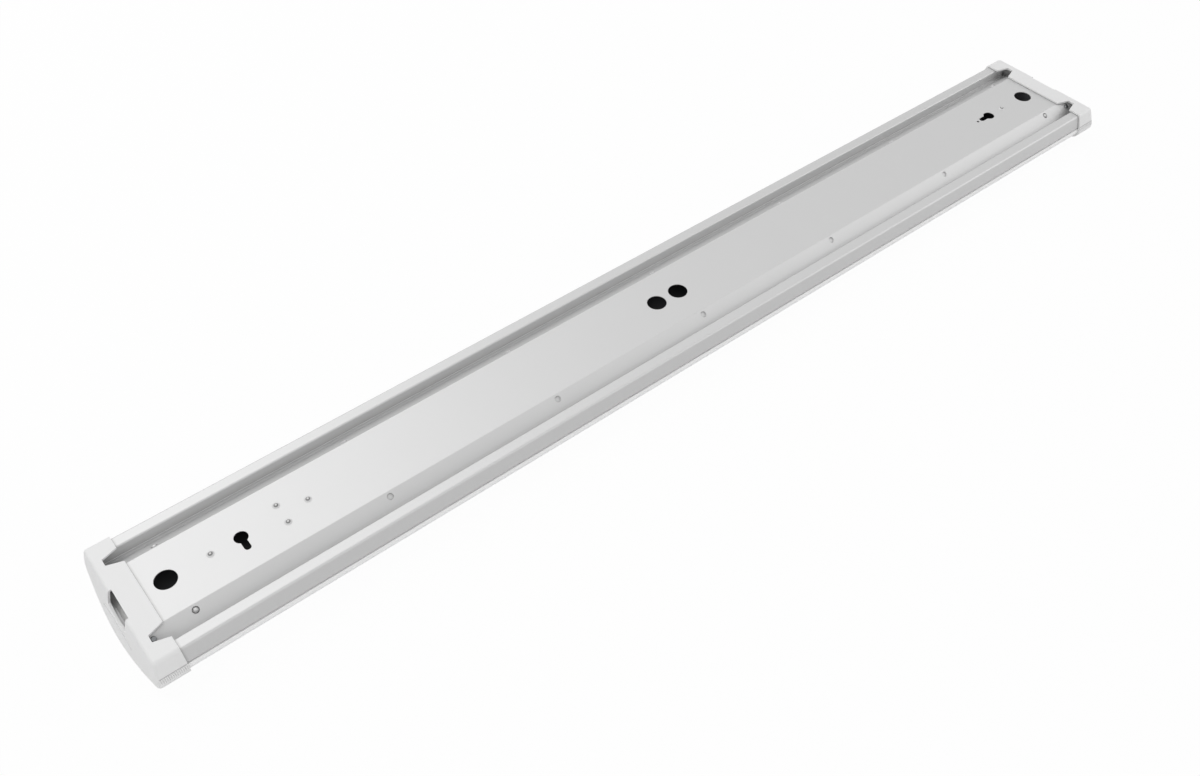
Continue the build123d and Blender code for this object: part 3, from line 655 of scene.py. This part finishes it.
def end_tree(tree, instances, material):
    """End a tree in real geometry of one material."""
    real = add_node(tree, "GeometryNodeRealizeInstances", {"Geometry": instances})
    finished = add_node(
        tree, "GeometryNodeSetMaterial", {"Geometry": real.outputs[0], "Material": material}
    )
    add_node(tree, "NodeGroupOutput", {"Geometry": finished.outputs[0]})
    return tree


def fillet_tree(material, values):
    """Geometry Nodes tree: a solder fillet at both ends of each point's LED package."""
    labels = ("Package Length", "Fillet Width", "Fillet Height")
    tree, inputs = tree_with_inputs("solder_fillets", labels, values)
    wedge = add_node(
        tree, "GeometryNodeMeshCone",
        {
            "Vertices": FILLET_SEGMENTS,
            "Radius Top": FILLET_TOP_RADIUS,
            "Radius Bottom": FILLET_FOOT_RADIUS,
            "Depth": inputs["Fillet Height"],
        },
        fill_type="NGON",
    )
    width = add_node(
        tree, "ShaderNodeMath", {0: inputs["Fillet Width"], 1: 2 * FILLET_FOOT_RADIUS}, operation="DIVIDE"
    )
    stretch = add_node(tree, "ShaderNodeCombineXYZ", {"X": 1.0, "Y": width.outputs[0], "Z": 1.0})
    shaped = add_node(
        tree, "GeometryNodeTransform",
        {"Geometry": wedge.outputs["Mesh"], "Scale": stretch.outputs[0], "Rotation": (math.pi, 0.0, 0.0)},
    )
    half = add_node(tree, "ShaderNodeMath", {0: inputs["Package Length"], 1: 0.5}, operation="MULTIPLY")
    both = add_node(tree, "GeometryNodeJoinGeometry")
    for side in (-1.0, 1.0):
        shift = add_node(tree, "ShaderNodeMath", {0: half.outputs[0], 1: side}, operation="MULTIPLY")
        offset = add_node(tree, "ShaderNodeCombineXYZ", {"X": shift.outputs[0]})
        moved = add_node(
            tree, "GeometryNodeSetPosition", {"Geometry": inputs["Geometry"], "Offset": offset.outputs[0]}
        )
        placed = add_node(
            tree, "GeometryNodeInstanceOnPoints",
            {"Points": moved.outputs[0], "Instance": shaped.outputs[0]},
        )
        tree.links.new(placed.outputs[0], both.inputs[0])
    return end_tree(tree, both.outputs[0], material)


def package_centres(node):
    """Middle of each LED package on its board's face, read from the node's loose solids."""
    corners = [vertex.co.copy() for vertex in node.data.vertices]
    top = max(corner.z for corner in corners)
    row = sum(corner.y for corner in corners) / len(corners)
    faces = sorted({round(corner.x / MM, 2) for corner in corners})
    return [Vector(((low + high) / 2 * MM, row, top)) for low, high in zip(faces[::2], faces[1::2])]


def mesh_on_points(places, tree, values):
    """Plain mesh that a Geometry Nodes tree makes at some places, with its inputs set by name."""
    points = bpy.data.meshes.new(tree.name + "_points")
    points.from_pydata(places, [], [])
    source = new_object(tree.name + "_source", points)
    modifier = source.modifiers.new(tree.name, "NODES")
    modifier.node_group = tree
    for item in tree.interface.items_tree:
        if item.in_out == "INPUT" and item.name in values:
            modifier[item.identifier] = values[item.name]
    graph = bpy.context.evaluated_depsgraph_get()
    mesh = bpy.data.meshes.new_from_object(source.evaluated_get(graph), depsgraph=graph)
    bpy.data.objects.remove(source)
    return mesh


def piece_on_points(name, places, trees, values):
    """Piece of all that some trees make at the same places, each with its own material."""
    joined = bpy.data.meshes.new(name)
    shape = bmesh.new()
    for number, tree in enumerate(trees):
        mesh = mesh_on_points(places, tree, values)
        # The tree's mesh has an empty slot before its material's, so the slot is read from a face.
        joined.materials.append(mesh.materials[mesh.polygons[0].material_index])
        before = len(shape.faces)
        shape.from_mesh(mesh)
        shape.faces.ensure_lookup_table()
        for face in shape.faces[before:]:
            face.material_index = number
        bpy.data.meshes.remove(mesh)
    shape.to_mesh(joined)
    shape.free()
    return new_object(name, joined)


def leaning_on_points(tree, inputs, shape):
    """Instances of a shape on the points, leaning out from the light's middle."""
    place = add_node(
        tree, "ShaderNodeSeparateXYZ", {0: add_node(tree, "GeometryNodeInputPosition").outputs[0]}
    )
    side = add_node(tree, "ShaderNodeMath", {0: place.outputs["Y"]}, operation="SIGN")
    turn = add_node(tree, "ShaderNodeMath", {0: side.outputs[0], 1: inputs["Lean"]}, operation="MULTIPLY")
    outward = add_node(tree, "ShaderNodeMath", {0: turn.outputs[0], 1: -1.0}, operation="MULTIPLY")
    leaning = add_node(tree, "ShaderNodeCombineXYZ", {"X": outward.outputs[0]})
    placed = add_node(
        tree, "GeometryNodeInstanceOnPoints",
        {"Points": inputs["Geometry"], "Instance": shape, "Rotation": leaning.outputs[0]},
    )
    return placed.outputs[0]


def dome_tree(name, material, values):
    """Geometry Nodes tree: a rounded tip with a flat foot at each point."""
    tree, inputs = tree_with_inputs(name, ("Tip Radius", "Tip Height", "Lean"), values)
    ball = add_node(
        tree, "GeometryNodeMeshUVSphere",
        {"Segments": ROUND_SEGMENTS, "Rings": ROUND_SEGMENTS // 2, "Radius": inputs["Tip Radius"]},
    )
    rise = add_node(
        tree, "ShaderNodeMath", {0: inputs["Tip Height"], 1: inputs["Tip Radius"]}, operation="DIVIDE"
    )
    stretch = add_node(tree, "ShaderNodeCombineXYZ", {"X": 1.0, "Y": 1.0, "Z": rise.outputs[0]})
    tall = add_node(
        tree, "GeometryNodeTransform", {"Geometry": ball.outputs["Mesh"], "Scale": stretch.outputs[0]}
    )
    place = add_node(
        tree, "ShaderNodeSeparateXYZ", {0: add_node(tree, "GeometryNodeInputPosition").outputs[0]}
    )
    foot = add_node(tree, "ShaderNodeMath", {0: place.outputs["Z"], 1: 0.0}, operation="MAXIMUM")
    flat = add_node(
        tree, "ShaderNodeCombineXYZ",
        {"X": place.outputs["X"], "Y": place.outputs["Y"], "Z": foot.outputs[0]},
    )
    dome = add_node(
        tree, "GeometryNodeSetPosition", {"Geometry": tall.outputs[0], "Position": flat.outputs[0]}
    )
    smooth = add_node(tree, "GeometryNodeSetShadeSmooth", {"Geometry": dome.outputs[0]})
    return end_tree(tree, leaning_on_points(tree, inputs, smooth.outputs[0]), material)


def collar_tree(name, material, values):
    """Geometry Nodes tree: a low sloping collar round each point's tip."""
    labels = ("Tip Radius", "Edge Radius", "Edge Height", "Lean")
    tree, inputs = tree_with_inputs(name, labels, values)
    collar = add_node(
        tree, "GeometryNodeMeshCone",
        {
            "Vertices": ROUND_SEGMENTS,
            "Radius Top": inputs["Tip Radius"],
            "Radius Bottom": inputs["Edge Radius"],
            "Depth": inputs["Edge Height"],
        },
        fill_type="NGON",
    )
    return end_tree(tree, leaning_on_points(tree, inputs, collar.outputs["Mesh"]), material)


def peg_places(height):
    """Places of the pegs in the panel's pips, over the pieces that they belong to."""
    places = []
    for name, offsets in PEG_OFFSETS.items():
        low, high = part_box(name)
        places += [Vector(((low.x + high.x) / 2, y, height)) for y in offsets]
    return places


def dimple_places():
    """Middles of the four end dimples' floors."""
    y = PANEL_EDGE + DIMPLE_ALONG * math.cos(SLOPE) - DIMPLE_DEPTH * math.sin(SLOPE)
    z = -DIMPLE_ALONG * math.sin(SLOPE) - DIMPLE_DEPTH * math.cos(SLOPE)
    return [Vector((x, side * y, z)) for x in (-DIMPLE_X, DIMPLE_X) for side in (-1, 1)]


def strip_mesh(name, span, turn):
    """Flat strip at one end of the insulating sheet, as wide and as thick as the sheet."""
    low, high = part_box("insulating_liner")
    start, stop = sorted((turn * high.x, turn * (high.x + span)))
    outline = ((start, low.y), (stop, low.y), (stop, high.y), (start, high.y))
    places = [(x, y, z) for z in (low.z, high.z) for x, y in outline]
    faces = [(3, 2, 1, 0), (4, 5, 6, 7)]
    faces += [(corner, (corner + 1) % 4, (corner + 1) % 4 + 4, corner + 4) for corner in range(4)]
    mesh = bpy.data.meshes.new(name)
    mesh.from_pydata(places, [], faces)
    return mesh


def seal_mesh(name, thickness, turn):
    """Foam strip between an end of the tray and the inside of its end cap."""
    tray_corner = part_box("gear_tray")[1]
    inner = tray_corner.x - SEAL_LAP
    low = tray_corner.z
    high = low + thickness
    places = []
    for step in range(SEAL_STEPS + 1):
        y = SEAL_HALF_WIDTH * (2 * step / SEAL_STEPS - 1)
        lean = CAP_LEAN * (1 - (y / CAP_LEAN_SPAN) ** 2)
        outer_low = CAP_INSIDE + lean * (CAP_TOP - low)
        outer_high = CAP_INSIDE + lean * (CAP_TOP - high)
        section = ((inner, low), (outer_low, low), (outer_high, high), (inner, high))
        places += [(turn * x, turn * y, z) for x, z in section]
    faces = [(0, 1, 2, 3), tuple(4 * SEAL_STEPS + corner for corner in (3, 2, 1, 0))]
    for step in range(SEAL_STEPS):
        for corner in range(4):
            after = (corner + 1) % 4
            faces.append((4 * step + corner, 4 * step + 4 + corner, 4 * step + 4 + after, 4 * step + after))
    mesh = bpy.data.meshes.new(name)
    mesh.from_pydata(places, [], faces)
    return mesh


def make_floor(studio):
    """Pale floor that shows as white and keeps the light's shadow."""
    level = cad_box[0][2]
    half = FLOOR_SPAN / 2
    mesh = bpy.data.meshes.new("studio_floor")
    mesh.from_pydata(
        [(-half, -half, level), (half, -half, level), (half, half, level), (-half, half, level)],
        [], [(0, 1, 2, 3)],
    )
    floor = new_object("studio_floor", mesh)
    # Seamless white paper: matt, and plain white where the camera looks at it.
    material = bpy.data.materials.new("white_paper")
    material.use_nodes = True
    tree = material.node_tree
    tree.nodes.clear()
    paper = add_node(tree, "ShaderNodeBsdfDiffuse", {"Color": rgba(studio.floor)})
    white = add_node(tree, "ShaderNodeEmission", {"Color": (1, 1, 1, 1), "Strength": 1.0})
    seen = add_node(tree, "ShaderNodeLightPath")
    share = add_node(
        tree, "ShaderNodeMath",
        {0: seen.outputs["Is Camera Ray"], 1: studio.backdrop_share}, operation="MULTIPLY",
    )
    mixed = add_node(
        tree, "ShaderNodeMixShader", {0: share.outputs[0], 1: paper.outputs[0], 2: white.outputs[0]}
    )
    add_node(tree, "ShaderNodeOutputMaterial", {"Surface": mixed.outputs[0]})
    mesh.materials.append(material)


def make_lamps(studio):
    """Three large soft lamps: above and behind, at the far end, and before the near end."""
    lamps = (
        ("back_lamp", BACK_LAMP_PLACE, studio.back_size, studio.back_power),
        ("side_lamp", SIDE_LAMP_PLACE, studio.side_size, studio.side_power),
        ("front_lamp", FRONT_LAMP_PLACE, studio.front_size, studio.front_power),
    )
    for name, place, size, power in lamps:
        data = bpy.data.lights.new(name, "AREA")
        data.shape = "SQUARE"
        data.size = size
        data.energy = power
        lamp = new_object(name, data)
        lamp.location = place
        lamp.rotation_euler = (-Vector(place)).to_track_quat("-Z", "Y").to_euler()
        lamp.visible_camera = False


def make_world(studio):
    """Even light from all round, white to the camera and in reflections."""
    world = bpy.data.worlds.new("studio_world")
    bpy.context.scene.world = world
    world.use_nodes = True
    tree = world.node_tree
    tree.nodes.clear()
    seen = add_node(tree, "ShaderNodeLightPath")
    even = add_node(tree, "ShaderNodeBackground", {"Color": (1, 1, 1, 1), "Strength": studio.world_level})
    white = add_node(tree, "ShaderNodeBackground", {"Color": (1, 1, 1, 1), "Strength": 1.0})
    reflected = add_node(
        tree, "ShaderNodeMath",
        {0: seen.outputs["Is Glossy Ray"], 1: seen.outputs["Is Transmission Ray"]}, operation="MAXIMUM",
    )
    shown = add_node(
        tree, "ShaderNodeMath",
        {0: seen.outputs["Is Camera Ray"], 1: reflected.outputs[0]}, operation="MAXIMUM",
    )
    mixed = add_node(
        tree, "ShaderNodeMixShader", {0: shown.outputs[0], 1: even.outputs[0], 2: white.outputs[0]}
    )
    add_node(tree, "ShaderNodeOutputWorld", {"Surface": mixed.outputs[0]})


def make_camera():
    """Camera at the photograph's place, angle and focal length."""
    data = bpy.data.cameras.new("photo_camera")
    data.sensor_fit = "HORIZONTAL"
    data.sensor_width = SENSOR_WIDTH
    data.lens = SENSOR_WIDTH * FOCAL_PIXELS / PHOTO_WIDTH
    data.clip_end = 2 * FLOOR_SPAN
    camera = new_object("photo_camera", data)
    right, up, back = (Vector(axis) for axis in CAMERA_AXES)
    turn = Matrix((right, up, back)).transposed()
    camera.matrix_world = Matrix.Translation(CAMERA_PLACE) @ turn.to_4x4()
    bpy.context.scene.camera = camera


class CeilingLightPanel(bpy.types.Panel):
    """Sidebar panel with the light's settings and its steps"""

    bl_idname = "VIEW3D_PT_ceiling_light"
    bl_label = "Ceiling light"
    bl_space_type = "VIEW_3D"
    bl_region_type = "UI"
    bl_category = "Ceiling light"

    def draw(self, context):
        for group in (context.scene.light_finishes, context.scene.light_sizes, context.scene.light_studio):
            box = self.layout.box()
            for name in group.bl_rna.properties.keys():
                if name not in ("rna_type", "name"):
                    box.prop(group, name)
        for step in STEPS:
            self.layout.operator(step.bl_idname)


STEPS = (
    FinishHousing,
    FinishEndCaps,
    FinishLens,
    FinishGearTray,
    FinishBoards,
    FinishDriver,
    FinishTerminals,
    FinishLeads,
    FinishFasteners,
    AddSolderFillets,
    AddPegTips,
    AddSnapNibs,
    AddSheetStrips,
    AddEndSeals,
    BuildStudio,
)
SETTINGS = {"light_finishes": LightFinishes, "light_sizes": SmallSizes, "light_studio": StudioSettings}
CLASSES = (*SETTINGS.values(), *STEPS, CeilingLightPanel)


def register():
    """Register the classes and attach the settings to the scene."""
    for item in CLASSES:
        bpy.utils.register_class(item)
    for name, group in SETTINGS.items():
        setattr(bpy.types.Scene, name, PointerProperty(type=group))


def unregister():
    """Take the settings and the classes away."""
    for name in SETTINGS:
        delattr(bpy.types.Scene, name)
    for item in reversed(CLASSES):
        bpy.utils.unregister_class(item)


def main():
    """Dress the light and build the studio."""
    register()
    for step in STEPS:
        group, name = step.bl_idname.split(".")
        getattr(getattr(bpy.ops, group), name)()


if __name__ == "__main__":
    main()
